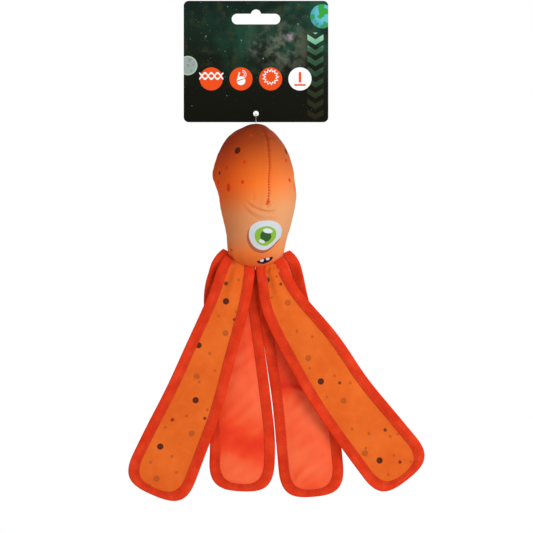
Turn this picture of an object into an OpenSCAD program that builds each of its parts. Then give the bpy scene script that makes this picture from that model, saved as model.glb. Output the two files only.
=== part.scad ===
// Soft throw-and-tug octopus toy on a hanging header card.
// X is to the right, Y points away from the face, Z is up. Millimetres.
// The origin is where a display hook bears, at the centre of the round notch
// in the card's hang slot. The face looks towards -Y.

/* [Header card] */
// Width of the card
card_w = 143; // [130:1:150]
// Height of the card
card_h = 120; // [118:1:122]
// Thickness of the board
card_t = 0.6; // [0.4:0.1:0.8]
// Radius of the card's corners
card_corner = 5; // [2:1:10]
// Width of the hang slot over its round ends
slot_w = 48; // [40:1:50]
// Height of the hang slot
slot_h = 10.5; // [9:0.5:11]
// Radius of the round notch over the slot
notch_r = 5; // [4:0.5:6]
// Radius of the hole that the tag loop goes through
tag_hole_r = 2.7; // [2.5:0.1:3]

/* [Tag loop] */
// Radius of the loop, to the middle of its filament
loop_r = 7.5; // [7.4:0.1:7.6]
// Radius of the nylon filament
filament_r = 0.3; // [0.25:0.05:0.35]
// Radius of the bead that locks the loop's two ends
lock_r = 1.3; // [1:0.1:1.5]

/* [Head] */
// Thickness of the padded head fabric
cover_t = 1.5; // [1:0.1:2]
// Angle that the face is turned to the right
face_turn = 18; // [10:1:20]
// Gap between the card's lower edge and the crown
crown_gap = 1.5; // [1.3:0.1:2]
// Stitches in each crown dart
dart_stitches = 24; // [12:1:30]

/* [Squeaker] */
// Radius of the squeaker's cup
squeaker_r = 17; // [15:0.5:18]
// Wall of the cup and dome
squeaker_wall = 0.9; // [0.8:0.1:1.2]
// How far the dome is pressed in
squeaker_travel = 7; // [5:0.5:8]
// Radius of the whistle's tube
whistle_r = 4; // [3.5:0.5:5]

/* [Tails] */
// Thickness of each fabric panel of a tail
panel_t = 0.5; // [0.4:0.1:0.6]
// Thickness of the crackle film
film_t = 0.2; // [0.1:0.1:0.2]
// Thickness of the binding tape
tape_t = 0.6; // [0.5:0.1:0.7]
// Width of the binding tape on each face
tape_w = 10.5; // [9:0.5:12]
// Distance between the middle planes of the front and back tails
tail_gap = 5.6; // [5.4:0.2:7]
// How far below the chin the tails start to swing
root_drop = 2; // [2:0.5:4]
// How far below that the tails bend in the middle
bend_drop = 110; // [90:5:130]

/* [Hidden] */
tail_names = ["front_left", "front_right", "back_left", "back_right"];
layer_names = ["face", "reverse", "film", "binding", "stitching"];

print_orange = "#e8702a";
plain_coral = "#f4633c";
tape_red = "#dc4424";
thread_orange = "#e5743c";
thread_red = "#c2321a";
head_orange = "#ee8a45";

eps = 0.05; // gap between layers that touch
$fn = 48;

card_top = notch_r + 8.5;
card_bottom = card_top - card_h;
slot_z = -4.5;
tag_hole_z = card_bottom + 8.5;
loop_z = tag_hole_z - loop_r;
crown_z = card_bottom - crown_gap;

// Half the thickness of a bound edge, and of the layers inside it
film_half = film_t / 2;
panel_in = film_half + eps;
panel_out = panel_in + panel_t;
tape_in = panel_out + eps;
tape_out = tape_in + tape_t;
thread_t = 0.2;
split_gap = 0.6; // between two rigid lengths of one tail
stitch_rows = [7.3, 9.1]; // distance of the two rows from the tail's edge
stitch_w = 0.4;

// The head's outer radius at each depth below the crown. The first and last
// entries mirror their neighbours, so the crown and the chin are round.
head_stations = [[-8.4, 1.6], [0, 0], [8.4, 1.6], [15, 6.5], [23.8, 14.7], [30.4, 23.5],
    [35.8, 33.5], [39.5, 46], [39.8, 58], [37.4, 81], [34, 95.5], [29.7, 111], [28, 121],
    [27.2, 128], [24, 133], [17, 137.7], [8, 141], [0, 142], [-8, 141]];

// Stations down each tail: distance along it, x, z and half width
tail_stations = [
    [[0, -13.5, -240.5, 13], [20, -19.5, -259.5, 18], [50, -28.4, -288.2, 21.5],
     [100, -45.3, -335.1, 25.4], [150, -62.2, -382.2, 29.6], [200, -82.1, -428, 32.7],
     [250, -102.2, -474.6, 34.8]],
    [[0, 12.5, -241, 13], [20, 17.6, -260.4, 16.8], [52, 29, -290.2, 22.7],
     [104, 57.7, -333.5, 28.7], [156, 85.6, -377.3, 30.4], [208, 117.2, -418.7, 32.2],
     [260, 149.5, -459.5, 33.5]],
    [[0, -13.5, -238, 14.2], [24, -23.5, -259.5, 24.2], [48, -25, -282.1, 26.9],
     [96, -20.4, -329.8, 28.5], [144, -16.8, -377.7, 31], [192, -13.4, -425.6, 32.3],
     [238.5, -15.6, -472, 32.3]],
    [[0, 14.5, -238, 13.2], [24, 23.7, -260.5, 22.5], [49, 27.8, -285.1, 24.8],
     [98, 37, -333.4, 27.9], [147, 46.4, -381.4, 30.4], [196, 52.6, -429.9, 32],
     [244, 56.8, -477.5, 32]]];
tail_side = [-1, -1, 1, 1]; // -1 hangs in front of the middle plane, 1 behind it
tip_depth = 32; // length of a tail's rounded end
tip_power = 2.4; // squareness of the rounded end

// A smooth curve through points p: one span for each unit of t
function spline(p, t) = let (
    i = max(0, min(floor(t), len(p) - 2)), f = t - i,
    a = p[max(i - 1, 0)], b = p[i], c = p[i + 1], d = p[min(i + 2, len(p) - 1)])
    (2 * b + (c - a) * f + (2 * a - 5 * b + 4 * c - d) * f * f
     + (3 * b - a - 3 * c + d) * f * f * f) / 2;

// ---- Tail outlines -----------------------------------------------------

function length_of(p) = p[len(p) - 1][0];
function station(p, v) = spline(p, lookup(v, [for (i = [0 : len(p) - 1]) [p[i][0], i]]));
function along(p, v) = let (d = station(p, v + 0.5) - station(p, v - 0.5), n = norm([d[1], d[2]]))
    [d[1] / n, d[2] / n];
function across(p, v) = let (d = along(p, v)) [-d[1], d[0]];
// How much the rounded end narrows the tail at v
function taper(p, v, inset) = let (
    f = (v - length_of(p) + tip_depth) / (tip_depth - inset))
    f <= 0 ? 1 : f >= 1 ? 0 : pow(1 - pow(f, tip_power), 1 / tip_power);
function edge_point(p, v, side, inset) = let (c = station(p, v), b = across(p, v),
    w = (c[3] - inset) * taper(p, v, inset))
    [c[1] + side * w * b[0], c[2] + side * w * b[1]];
// Places down the tail at which every outline has a point, so that insets stay nested
function places(p, inset) = let (round_from = length_of(p) - tip_depth, step = 10)
    concat([for (v = [0 : step : round_from - 1]) v],
           [for (a = [0 : 11.25 : 90]) round_from + (tip_depth - inset) * sin(a)]);
function outline(p, inset) = let (v = places(p, inset), n = len(v))
    concat([for (i = [0 : n - 1]) edge_point(p, v[i], -1, inset)],
           [for (i = [n - 2 : -1 : 0]) edge_point(p, v[i], 1, inset)]);

// A flat layer of a tail, from y0 to y1, in the XZ plane
module layer(p, inset, y0, y1) {
    translate([0, y1, 0]) rotate([90, 0, 0])
        linear_extrude(y1 - y0) polygon(outline(p, inset));
}

// ---- Header card and its loop --------------------------------------------

module header_card() {
    color("#12261c") difference() {
        translate([0, card_t / 2, card_bottom + card_h / 2]) rotate([90, 0, 0])
            rounded_slab(card_w, card_h, card_corner, card_t);
        translate([0, card_t, slot_z]) rotate([90, 0, 0])
            rounded_slab(slot_w, slot_h, slot_h / 2 - 0.01, 2 * card_t);
        translate([0, card_t, 0]) rotate([90, 0, 0]) cylinder(r = notch_r, h = 2 * card_t);
        translate([0, card_t, tag_hole_z]) rotate([90, 0, 0])
            cylinder(r = tag_hole_r, h = 2 * card_t);
    }
}

// A slab with rounded corners, centred in X and Y
module rounded_slab(w, h, r, t) {
    union() {
        translate([-w / 2 + r, -h / 2, 0]) cube([w - 2 * r, h, t]);
        translate([-w / 2, -h / 2 + r, 0]) cube([w, h - 2 * r, t]);
        for (x = [-1, 1], y = [-1, 1])
            translate([x * (w / 2 - r), y * (h / 2 - r), 0]) cylinder(r = r, h = t);
    }
}

// The loop as a ring about the X axis through its middle
module loop_ring(r) {
    translate([0, 0, loop_z]) rotate([0, 90, 0])
        rotate_extrude() translate([loop_r, 0]) circle(r = r);
}

lock_angle = 40; // of the lock bead from the top of the loop
module lock_place() {
    translate([0, loop_r * sin(lock_angle), loop_z + loop_r * cos(lock_angle)])
        rotate([-90 - lock_angle, 0, 0]) children();
}

module tag_loop() {
    color("#f4f4f0") difference() {
        loop_ring(filament_r);
        lock_place() cylinder(r = lock_r + eps, h = 2 * lock_r, center = true);
    }
}

module tag_loop_lock() {
    color("#f4f4f0") lock_place() cylinder(r = lock_r, h = 2 * lock_r - 2 * eps, center = true);
}

// ---- Head ---------------------------------------------------------------

// A point of the head's outside as radius and depth: t counts stations from the crown
function head_point(t) = spline(head_stations, t + 1);
function head_normal(t) = let (d = head_point(t + 0.05) - head_point(t - 0.05))
    [d[1], -d[0]] / norm(d);
// The head's half section, set in from the outside, as radius and height
function head_section(inset) = let (n = len(head_stations) - 3)
    [for (t = [0 : 0.5 : n]) let (p = head_point(t), m = head_normal(t),
        r = t == 0 || t == n ? 0 : max(p[0] - inset * m[0], 0))
        [r, -p[1] + (t == 0 ? -inset : t == n ? inset : inset * m[1])]];

module head_solid(inset) {
    translate([0, 0, crown_z]) rotate_extrude() polygon(head_section(inset));
}

// Half of the head's fabric: turn is 180 for the face side and 0 for the back
module head_half(turn) {
    difference() {
        translate([0, 0, crown_z]) rotate([0, 0, face_turn + turn])
            rotate_extrude(angle = 180) difference() {
                polygon(head_section(0));
                polygon(head_section(cover_t));
            }
        loop_ring(filament_r + 0.3);
    }
}

module head_front_panel() { color(head_orange) head_half(180); }
module head_back_panel() { color(head_orange) head_half(0); }

module head_stuffing() {
    color("white") difference() {
        head_solid(cover_t + 2 * eps);
        loop_ring(filament_r + 0.3);
        translate([0, squeaker_back + 1, squeaker_z]) rotate([90, 0, 0])
            cylinder(r = squeaker_r + 1, h = squeaker_back - squeaker_front + 2);
        translate([0, whistle_y, whistle_top - whistle_l - 1])
            cylinder(r = whistle_r + 1, h = whistle_l);
    }
}

// A row of stitches along the head's surface, on the meridian at this angle
module stitch_row(angle, from_t, to_t, count) {
    rotate([0, 0, angle]) translate([0, 0, crown_z])
        for (i = [0 : count - 1]) {
            t = from_t + (to_t - from_t) * i / (count - 1);
            p = head_point(t);
            m = head_normal(t);
            translate([p[0] + m[0] * (thread_r + eps), 0, -p[1] - m[1] * (thread_r + eps)])
                rotate([0, atan2(m[1], m[0]), 0]) cylinder(r = thread_r, h = 1.6, center = true);
        }
}

thread_r = 0.35;
dart_from = 2.5; // stations of the head's section, from the crown
dart_to = 8.1;
face_angle = face_turn - 90;
module front_dart_stitching() {
    color(thread_red) stitch_row(face_angle, dart_from, dart_to, dart_stitches);
}
module back_dart_stitching() {
    color(thread_red) stitch_row(face_angle + 180, dart_from, dart_to, dart_stitches);
}
module side_seam_stitching() {
    color(thread_red) for (side = [-90, 90])
        stitch_row(face_angle + side, dart_from, 12.5, round(1.4 * dart_stitches));
}

// ---- Squeaker -------------------------------------------------------------

squeaker_z = crown_z - 58;
squeaker_front = -12;
squeaker_back = 12;
dome_r = squeaker_r - squeaker_wall - 0.3;
cup_front = -1; // the cup's open rim
dome_back = 2; // the dome's open rim, inside the cup

// A can about the Y axis with its end closed at y = closed and its rim at y = open
module can(r, wall, closed, open) {
    y0 = min(closed, open);
    y1 = max(closed, open);
    translate([0, 0, squeaker_z]) difference() {
        translate([0, y1, 0]) rotate([90, 0, 0]) cylinder(r = r, h = y1 - y0);
        translate([0, closed < open ? y1 + 1 : y1 - wall, 0]) rotate([90, 0, 0])
            cylinder(r = r - wall, h = y1 - y0 - wall + 1);
    }
}

module squeaker_cup() {
    color("#f2efe2") difference() {
        can(squeaker_r, squeaker_wall, squeaker_back, cup_front);
        translate([0, whistle_y, squeaker_z - squeaker_r - 2])
            cylinder(r = whistle_r + eps, h = 6);
    }
}

module squeaker_dome() {
    color("#f7f4ea") can(dome_r, squeaker_wall, squeaker_front, dome_back);
}

whistle_y = 5.5;
whistle_l = 12;
whistle_top = squeaker_z - squeaker_r + 0.7;
module squeaker_whistle() {
    color("#e9e9e4") translate([0, whistle_y, whistle_top - whistle_l]) difference() {
        cylinder(r = whistle_r, h = whistle_l);
        translate([0, 0, -1]) cylinder(r = whistle_r - 1, h = whistle_l + 2);
    }
}

// The reed: a thin strip that stands across the whistle's bore
module squeaker_reed() {
    reed_w = 2 * whistle_r - 2.1;
    color("#d8d8d2") translate([-reed_w / 2, whistle_y - 0.2, whistle_top - whistle_l + 2])
        cube([reed_w, 0.4, whistle_l - 4]);
}

// ---- Tails ----------------------------------------------------------------

// The seam under the chin lets all four tails swing about lines along X at this
// height, and all four bend in the middle about lines along X at the lower one
chin_z = crown_z - 142;
root_z = chin_z - root_drop;
bend_z = root_z - bend_drop;

// What lies between two heights
module between(low, high) {
    intersection() {
        children();
        translate([-300, -10, low]) cube([600, 20, high - low]);
    }
}

// The upper or lower half of what follows, with its ends set in by margin
module half_of(half, margin = 0) {
    low = half == "upper" ? bend_z + split_gap / 2 + margin : bend_z - 200;
    high = (half == "upper" ? root_z : bend_z) - split_gap / 2 - margin;
    between(low, high) children();
}

// A tail's printed face looks outward: forward on a front tail, back on a back one
module outward(k) {
    mirror([0, tail_side[k] < 0 ? 1 : 0, 0]) translate([0, tail_gap / 2, 0]) children();
}

module tail_part(k, half, name) {
    p = tail_stations[k];
    inset = tape_t + 2 * eps;
    outward(k) {
        if (name == "face")
            color(print_orange) half_of(half) layer(p, inset, panel_in, panel_out);
        if (name == "reverse")
            color(plain_coral) half_of(half) layer(p, inset, -panel_out, -panel_in);
        if (name == "film")
            color("silver") half_of(half) layer(p, inset, -film_half, film_half);
        if (name == "binding")
            color(tape_red) half_of(half) tape(p);
        if (name == "stitching")
            color(thread_orange) half_of(half, 1) double_stitches(p);
    }
}

// Binding tape folded over the tail's edge, with a leg on each face
module tape(p) {
    difference() {
        layer(p, 0, -tape_out, tape_out);
        layer(p, tape_w, -tape_out - 1, tape_out + 1);
        layer(p, tape_t + eps, -tape_in, tape_in);
    }
}

// Two rows of thread on each face of the tape
module double_stitches(p) {
    for (row = stitch_rows, side = [-1, 1]) {
        y = side * (tape_out + thread_t / 2);
        difference() {
            layer(p, row, y - thread_t / 2, y + thread_t / 2);
            layer(p, row + stitch_w, y - thread_t, y + thread_t);
        }
    }
}

// The end of a tail that the head's seam holds, down to where the tail starts to swing
module sewn_end(k) {
    color(tape_red) difference() {
        outward(k) between(root_z + split_gap / 2, crown_z)
            layer(tail_stations[k], 0, -tape_out, tape_out);
        head_solid(-eps);
    }
}

// ---- One node at a time -----------------------------------------------------

header_card();
tag_loop();
tag_loop_lock();
head_front_panel();
head_back_panel();
head_stuffing();
front_dart_stitching();
back_dart_stitching();
side_seam_stitching();
squeaker_cup();
squeaker_dome();
squeaker_whistle();
squeaker_reed();
for (k = [0 : len(tail_names) - 1])
    sewn_end(k);
for (k = [0 : len(tail_names) - 1], half = ["upper", "lower"], name = layer_names)
    tail_part(k, half, name);
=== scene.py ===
import bpy, bmesh, math
import numpy as np
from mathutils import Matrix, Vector


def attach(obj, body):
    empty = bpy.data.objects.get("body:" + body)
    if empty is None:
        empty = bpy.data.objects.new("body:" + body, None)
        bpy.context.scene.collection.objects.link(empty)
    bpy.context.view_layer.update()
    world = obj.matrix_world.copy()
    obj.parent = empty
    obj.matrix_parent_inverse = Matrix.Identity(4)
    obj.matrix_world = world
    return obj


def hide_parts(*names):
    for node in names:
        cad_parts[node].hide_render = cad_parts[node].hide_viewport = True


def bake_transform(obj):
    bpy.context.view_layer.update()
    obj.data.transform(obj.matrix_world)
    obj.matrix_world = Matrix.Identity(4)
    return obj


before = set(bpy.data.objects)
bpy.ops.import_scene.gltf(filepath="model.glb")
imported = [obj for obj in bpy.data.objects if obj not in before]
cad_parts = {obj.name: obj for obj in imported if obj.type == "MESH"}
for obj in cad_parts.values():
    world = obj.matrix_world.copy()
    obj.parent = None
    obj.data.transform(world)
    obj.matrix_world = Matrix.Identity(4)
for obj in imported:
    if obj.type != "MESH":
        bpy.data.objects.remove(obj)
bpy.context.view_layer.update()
mm = 0.001

stage = {
    "target": (0.0104, 0.0, -0.2492),   # the middle of the view, in the frame
    "distance": 2.6,
    "viewWidth": 0.5271,                # what the view takes in at the target
    "sensor": 36,
    # place, size and strength of each light
    "lights": {"keyLight": ((0.75, -1.05, 0.12), 0.7, 10.5), "fillLight": ((-1.2, -2.0, 0.1), 1.4, 5.0),
               "backLight": ((0.4, 1.9, 0.7), 1.6, 12.0)},
    "worldStrength": 0.55,
    "floorHeight": -0.95,               # the toy hangs, so the floor is well below it
    "floorReach": 3.0,
    "floorColour": (0.86, 0.86, 0.85, 1),
    "floorRoughness": 0.7,
}

cameraData = bpy.data.cameras.new("camera")
cameraData.sensor_width = stage["sensor"]
cameraData.lens = stage["sensor"] * stage["distance"] / stage["viewWidth"]
camera = bpy.data.objects.new("camera", cameraData)
camera.location = Vector(stage["target"]) + Vector((0, -stage["distance"], 0))
camera.rotation_euler = (math.radians(90), 0, 0)
bpy.context.collection.objects.link(camera)
bpy.context.scene.camera = camera

for name, (place, size, strength) in stage["lights"].items():
    data = bpy.data.lights.new(name, "AREA")
    data.size, data.energy = size, strength
    light = bpy.data.objects.new(name, data)
    light.location = place
    aim = Vector(stage["target"]) - Vector(place)
    light.rotation_mode = "QUATERNION"
    light.rotation_quaternion = aim.to_track_quat("-Z", "Y")
    bpy.context.collection.objects.link(light)

world = bpy.data.worlds.new("studio")
bpy.context.scene.world = world
world.use_nodes = True
worldNodes, worldLinks = world.node_tree.nodes, world.node_tree.links
lighting = worldNodes["Background"]
lighting.inputs["Color"].default_value = (1, 1, 1, 1)
lighting.inputs["Strength"].default_value = stage["worldStrength"]
backdrop = worldNodes.new("ShaderNodeBackground")   # plain white behind the object
backdrop.inputs["Color"].default_value = (1, 1, 1, 1)
seen = worldNodes.new("ShaderNodeLightPath")
either = worldNodes.new("ShaderNodeMixShader")
worldLinks.new(seen.outputs["Is Camera Ray"], either.inputs[0])
worldLinks.new(lighting.outputs[0], either.inputs[1])
worldLinks.new(backdrop.outputs[0], either.inputs[2])
worldLinks.new(either.outputs[0], worldNodes["World Output"].inputs["Surface"])
bpy.context.scene.view_settings.view_transform = "Standard"

floorMesh = bpy.data.meshes.new("floor")
reach, low = stage["floorReach"], stage["floorHeight"]
corners = [(x * reach, y * reach, low) for x, y in ((-1, -1), (1, -1), (1, 1), (-1, 1))]
floorMesh.from_pydata(corners, [], [(0, 1, 2, 3)])
floor = bpy.data.objects.new("floor", floorMesh)
bpy.context.collection.objects.link(floor)
floorPaint = bpy.data.materials.new("paleFloor")
floorPaint.use_nodes = True
floorPaint.node_tree.nodes["Principled BSDF"].inputs["Base Color"].default_value = stage["floorColour"]
floorPaint.node_tree.nodes["Principled BSDF"].inputs["Roughness"].default_value = stage["floorRoughness"]
floorMesh.materials.append(floorPaint)
print("camera, lights and floor made")


def feed(tree, socket, value):
    # joins another node's output to the socket, or sets the socket to a fixed value
    if isinstance(value, bpy.types.NodeSocket):
        tree.links.new(value, socket)
    else:
        socket.default_value = value


def add(tree, kind, inputs=None, **settings):
    node = tree.nodes.new(kind)
    for key, value in settings.items():
        setattr(node, key, value)
    for key, value in (inputs or {}).items():
        feed(tree, node.inputs[key], value)
    return node


def calc(tree, operation, *values):
    node = add(tree, "ShaderNodeMath", operation=operation)
    for i, value in enumerate(values):
        feed(tree, node.inputs[i], value)
    return node.outputs[0]


def times(tree, first, second):
    return calc(tree, "MULTIPLY", first, second)


def plus(tree, first, second):
    return calc(tree, "ADD", first, second)


def minus(tree, first, second):
    return calc(tree, "SUBTRACT", first, second)


def absolute(tree, value):
    return calc(tree, "ABSOLUTE", value)


def mixed(tree, factor, first, second, blend="MIX"):
    node = add(tree, "ShaderNodeMix", data_type="RGBA", blend_type=blend)
    for slot, value in ((0, factor), (6, first), (7, second)):
        feed(tree, node.inputs[slot], (*value, 1) if isinstance(value, tuple) else value)
    return node.outputs[2]


def ranged(tree, value, low, high, toLow=0.0, toHigh=1.0, smooth=True):
    node = add(tree, "ShaderNodeMapRange", {"Value": value, "From Min": low, "From Max": high,
                                            "To Min": toLow, "To Max": toHigh},
               interpolation_type="SMOOTHSTEP" if smooth else "LINEAR")
    return node.outputs["Result"]


def ramp(tree, value, stops):
    node = add(tree, "ShaderNodeValToRGB", {"Fac": value})
    node.color_ramp.elements[0].position = stops[0][0]
    node.color_ramp.elements[1].position = stops[-1][0]
    for place, _ in stops[1:-1]:
        node.color_ramp.elements.new(place)
    for element, (_, colour) in zip(node.color_ramp.elements, stops):
        element.color = (*colour, 1)
    return node.outputs["Color"]


def stored(tree, name):
    return add(tree, "ShaderNodeAttribute", attribute_name=name).outputs["Fac"]


def clothSpace(tree):
    return add(tree, "ShaderNodeUVMap", uv_map="cloth").outputs["UV"]


def objectSpace(tree):
    return add(tree, "ShaderNodeTexCoord").outputs["Object"]


def axes(tree, space):
    return add(tree, "ShaderNodeSeparateXYZ", {"Vector": space}).outputs


def noise(tree, space, scale, detail=3.0, roughness=0.5):
    return add(tree, "ShaderNodeTexNoise", {"Vector": space, "Scale": scale, "Detail": detail,
                                            "Roughness": roughness}).outputs["Fac"]


def wave(tree, value, pitch):
    return calc(tree, "SINE", times(tree, value, 2 * math.pi / pitch))


def material(name, roughness, specular=None):
    made = bpy.data.materials.new(name)
    made.use_nodes = True
    shader = made.node_tree.nodes["Principled BSDF"]
    shader.inputs["Roughness"].default_value = roughness
    if specular is not None:
        shader.inputs["Specular IOR Level"].default_value = specular
    return made, made.node_tree, shader


def bumped(tree, shader, height, distance, strength=1.0, below=None):
    inputs = {"Height": height, "Distance": distance * mm, "Strength": strength}
    if below is not None:
        inputs["Normal"] = below
    node = add(tree, "ShaderNodeBump", inputs)
    tree.links.new(node.outputs["Normal"], shader.inputs["Normal"])
    return node.outputs["Normal"]


def weave(tree, space, pitch, grain):
    # over-and-under threads, which are the product of two waves across each other, roughened by their fibres
    parts = axes(tree, space)
    threads = times(tree, wave(tree, parts["X"], pitch * mm), wave(tree, parts["Y"], pitch * mm))
    return plus(tree, times(tree, threads, 0.5), noise(tree, space, grain, 2))


def splineThrough(points, t):
    # Catmull-Rom: a smooth curve through the points, one span for each unit of t
    p, t = np.asarray(points, float), np.asarray(t, float)
    i = np.clip(np.floor(t).astype(int), 0, len(p) - 2)
    f = (t - i)[..., None]
    a, b, c, d = p[np.maximum(i - 1, 0)], p[i], p[i + 1], p[np.minimum(i + 2, len(p) - 1)]
    return (2 * b + (c - a) * f + (2 * a - 5 * b + 4 * c - d) * f**2 + (3 * b - a - 3 * c + d) * f**3) / 2


def smooth(value, low, high):
    # 0 below low, 1 above high, and an S between them
    f = np.clip((np.asarray(value, float) - low) / (high - low), 0, 1)
    return f * f * (3 - 2 * f)


def span(value, low, lowEnd, high, highEnd):
    # 1 between lowEnd and high, easing to 0 at low and at highEnd
    return smooth(value, low, lowEnd) * (1 - smooth(value, high, highEnd))


def bell(value, width):
    return np.exp(-((value / width) ** 2))


def unit(vectors):
    return vectors / np.maximum(np.linalg.norm(vectors, axis=-1, keepdims=True), 1e-9)


def arcLength(path):
    return np.concatenate([[0], np.cumsum(np.linalg.norm(np.diff(path, axis=0), axis=1))])


def gridFaces(rows, columns, wrap=False):
    # quads over a grid of points, closed across the columns where wrap is set
    r, c = np.meshgrid(np.arange(rows - 1), np.arange(columns if wrap else columns - 1), indexing="ij")
    following = (c + 1) % columns
    corners = [r * columns + c, r * columns + following, (r + 1) * columns + following, (r + 1) * columns + c]
    return np.stack(corners, -1).reshape(-1, 4)


def makePiece(name, points, faces, cloth, look, attributes=None, merge=False, turn=False, caps=(),
              normals=None):
    # points in mm; cloth is the flat place of each point on its fabric, in mm
    mesh = bpy.data.meshes.new(name)
    quads = faces[:, ::-1] if turn else faces
    mesh.from_pydata((points * mm).tolist(), [], quads.tolist() + [list(c) for c in caps])
    layer = mesh.uv_layers.new(name="cloth")
    corners = np.empty(len(mesh.loops), np.int32)
    mesh.loops.foreach_get("vertex_index", corners)
    layer.data.foreach_set("uv", (cloth * mm)[corners].astype(np.float32).ravel())
    for key, values in (attributes or {}).items():
        mesh.attributes.new(key, "FLOAT", "POINT").data.foreach_set("value", values.astype(np.float32))
    if merge:
        loose = bmesh.new()
        loose.from_mesh(mesh)
        bmesh.ops.remove_doubles(loose, verts=loose.verts, dist=1e-7)
        loose.to_mesh(mesh)
        loose.free()
    mesh.polygons.foreach_set("use_smooth", np.ones(len(mesh.polygons), bool))
    mesh.materials.append(look)
    mesh.update()
    if normals is not None:   # worked out from the surface, so that neighbouring lengths match
        mesh.normals_split_custom_set_from_vertices(normals.reshape(-1, 3).tolist())
    piece = bpy.data.objects.new(name, mesh)
    bpy.context.collection.objects.link(piece)
    return piece


def thicken(piece, thickness, offset=-1.0):
    solid = piece.modifiers.new("thickness", "SOLIDIFY")
    solid.thickness, solid.offset = thickness * mm, offset
    return piece


def stitchRow(path, normal, thread):
    # Rounded lengths of thread laid along a path: each is a thin tube whose ends dip into the cloth
    along = arcLength(path)
    count = max(int(along[-1] / thread["pitch"]), 1)
    rings, sides = 7, 6
    centres = (np.arange(count) + 0.5) * along[-1] / count
    u = np.linspace(-1, 1, rings)
    where = np.clip(centres[:, None] + u * thread["length"] / 2, 0, along[-1])
    line = np.stack([np.interp(where, along, path[:, k]) for k in range(3)], -1)
    up = unit(np.stack([np.interp(where, along, normal[:, k]) for k in range(3)], -1))
    side = np.cross(unit(np.gradient(line, axis=1)), up)
    thick = thread["radius"] * np.sqrt(np.clip(1 - (0.97 * u) ** 4, 0, 1))
    lift = thread["lift"] * (1 - u**2) - thread["dip"] * u**4
    angle = np.arange(sides) * 2 * np.pi / sides
    ring = (line + up * lift[None, :, None])[:, :, None, :] \
        + side[:, :, None, :] * (thick[None, :, None] * np.cos(angle))[..., None] \
        + up[:, :, None, :] * (thick[None, :, None] * np.sin(angle))[..., None]
    first = np.arange(count) * rings * sides
    faces = (gridFaces(rings, sides, wrap=True)[None] + first[:, None, None]).reshape(-1, 4)
    caps = [tuple(range(f, f + sides)) for f in first] \
        + [tuple(range(f + (rings - 1) * sides, f + rings * sides))[::-1] for f in first]
    run = np.repeat(where[:, :, None], sides, 2)
    flat = np.stack([run, np.broadcast_to(angle, run.shape)], -1)
    return ring.reshape(-1, 3), faces, flat.reshape(-1, 2), caps


def makeStitches(name, rows, thread, look):
    # several rows of stitches in one piece
    points, faces, flat, caps, start = [], [], [], [], 0
    for path, normal in rows:
        p, f, c, ends = stitchRow(path, normal, thread)
        points.append(p)
        faces.append(f + start)
        flat.append(c)
        caps += [tuple(i + start for i in end) for end in ends]
        start += len(p)
    return makePiece(name, np.concatenate(points), np.concatenate(faces), np.concatenate(flat), look,
                     turn=True, caps=caps)


def printed(tree, ground, layers):
    # paints each shape over the ground, where the stored distance to its outline is negative; on the head one
    # of the shapes is painted shade
    colour = ground
    for name, paint, strength in layers:
        mask = ranged(tree, stored(tree, name), -0.12, 0.12, 1.0, 0.0)
        colour = mixed(tree, times(tree, mask, strength), colour, paint)
    return colour


headPaint = {
    # colours down the head, by share of its height
    "down": [(0.0, (0.20, 0.026, 0.004)), (0.13, (0.34, 0.050, 0.006)), (0.27, (0.60, 0.105, 0.010)),
             (0.42, (0.84, 0.165, 0.016)), (0.52, (0.80, 0.22, 0.048)), (0.60, (0.72, 0.28, 0.105)),
             (0.76, (0.68, 0.29, 0.115)), (0.87, (0.77, 0.19, 0.036)), (1.0, (0.78, 0.125, 0.018))],
    "height": 145.0, "slant": -0.10, "cloud": 0.035,
    # painted shade on the left side of the head, and painted light on its right side
    "leftShade": (0.94, 0.58, 0.48), "rightPaintedLight": (0.90, 0.50, 0.26), "rightPaintedLightStrength": 0.30,
    # each shape, its colour and its strength: the print, and first a patch of painted shade in the dimple
    # where the dart ends
    "shapes": [("tuckShade", (0.86, 0.085, 0.010), 0.8), ("redSpots", (0.64, 0.026, 0.006), 0.88),
               ("darkSpots", (0.045, 0.008, 0.004), 0.95), ("eyeShade", (0.37, 0.090, 0.045), 0.9),
               ("eyeWhite", (0.58, 0.63, 0.66), 1.0), ("eyeIris", (0.24, 0.46, 0.040), 1.0),
               ("eyePupil", (0.035, 0.105, 0.028), 1.0), ("eyeGlint", (0.68, 0.71, 0.78), 1.0),
               ("mouth", (0.030, 0.004, 0.016), 1.0), ("teeth", (0.72, 0.70, 0.76), 1.0)],
}


def makeHeadFabric():
    look, tree, shader = material("printedHeadFabric", 0.8, 0.12)
    space = clothSpace(tree)
    depth, sideways = stored(tree, "depth"), stored(tree, "sideways")
    cloudy = minus(tree, noise(tree, space, 30, 3), 0.5)
    tilted = minus(tree, depth, times(tree, sideways, headPaint["slant"]))
    share = calc(tree, "DIVIDE", tilted, headPaint["height"])
    place = plus(tree, share, times(tree, cloudy, headPaint["cloud"]))
    ground = ramp(tree, place, headPaint["down"])
    # painted shade: the left of the head is darkened; then painted light: its right is paled, where the lamp
    # falls
    darker = times(tree, ranged(tree, sideways, 8.0, -34.0), ranged(tree, depth, 62.0, 100.0, 1.0, 0.62))
    ground = mixed(tree, darker, ground, headPaint["leftShade"], "MULTIPLY")
    pale = times(tree, ranged(tree, sideways, -2.0, 40.0, 0.0, headPaint["rightPaintedLightStrength"]),
                 ranged(tree, depth, 30.0, 92.0, 0.18, 1.0))
    ground = mixed(tree, pale, ground, headPaint["rightPaintedLight"])
    feed(tree, shader.inputs["Base Color"], printed(tree, ground, headPaint["shapes"]))
    soft = bumped(tree, shader, noise(tree, space, 60, 2), 0.9, 0.25)
    bumped(tree, shader, weave(tree, space, 0.9, 900), 0.10, 0.6, soft)
    return look


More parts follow.
